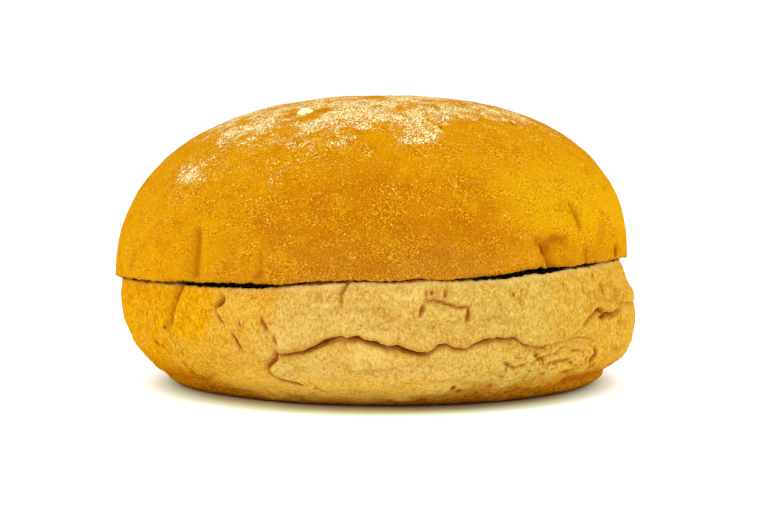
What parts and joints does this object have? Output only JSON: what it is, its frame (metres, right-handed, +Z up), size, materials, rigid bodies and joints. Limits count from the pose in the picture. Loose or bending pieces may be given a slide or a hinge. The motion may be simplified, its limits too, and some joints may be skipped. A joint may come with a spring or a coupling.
{
  "type": "bread roll",
  "caption": "Soft round bread roll, sliced level through the side into a creased pale base and a domed golden top that lie together.",
  "frame": {"origin": "on the table, under the middle of the roll", "axes": "+Z up, +X to the right seen from the pale creased side, +Y to the back"},
  "size_m": [0.1094, 0.1076, 0.06],
  "materials": {
    "pale_crust": "soft matt bread crust, pale tan on the side that touched its neighbour and golden elsewhere",
    "golden_crust": "thin golden baked crust with a dusting of flour"
  },
  "bodies": {
    "root": {"lower_half": "pale_crust", "upper_half": "golden_crust"}
  },
  "joints": []
}
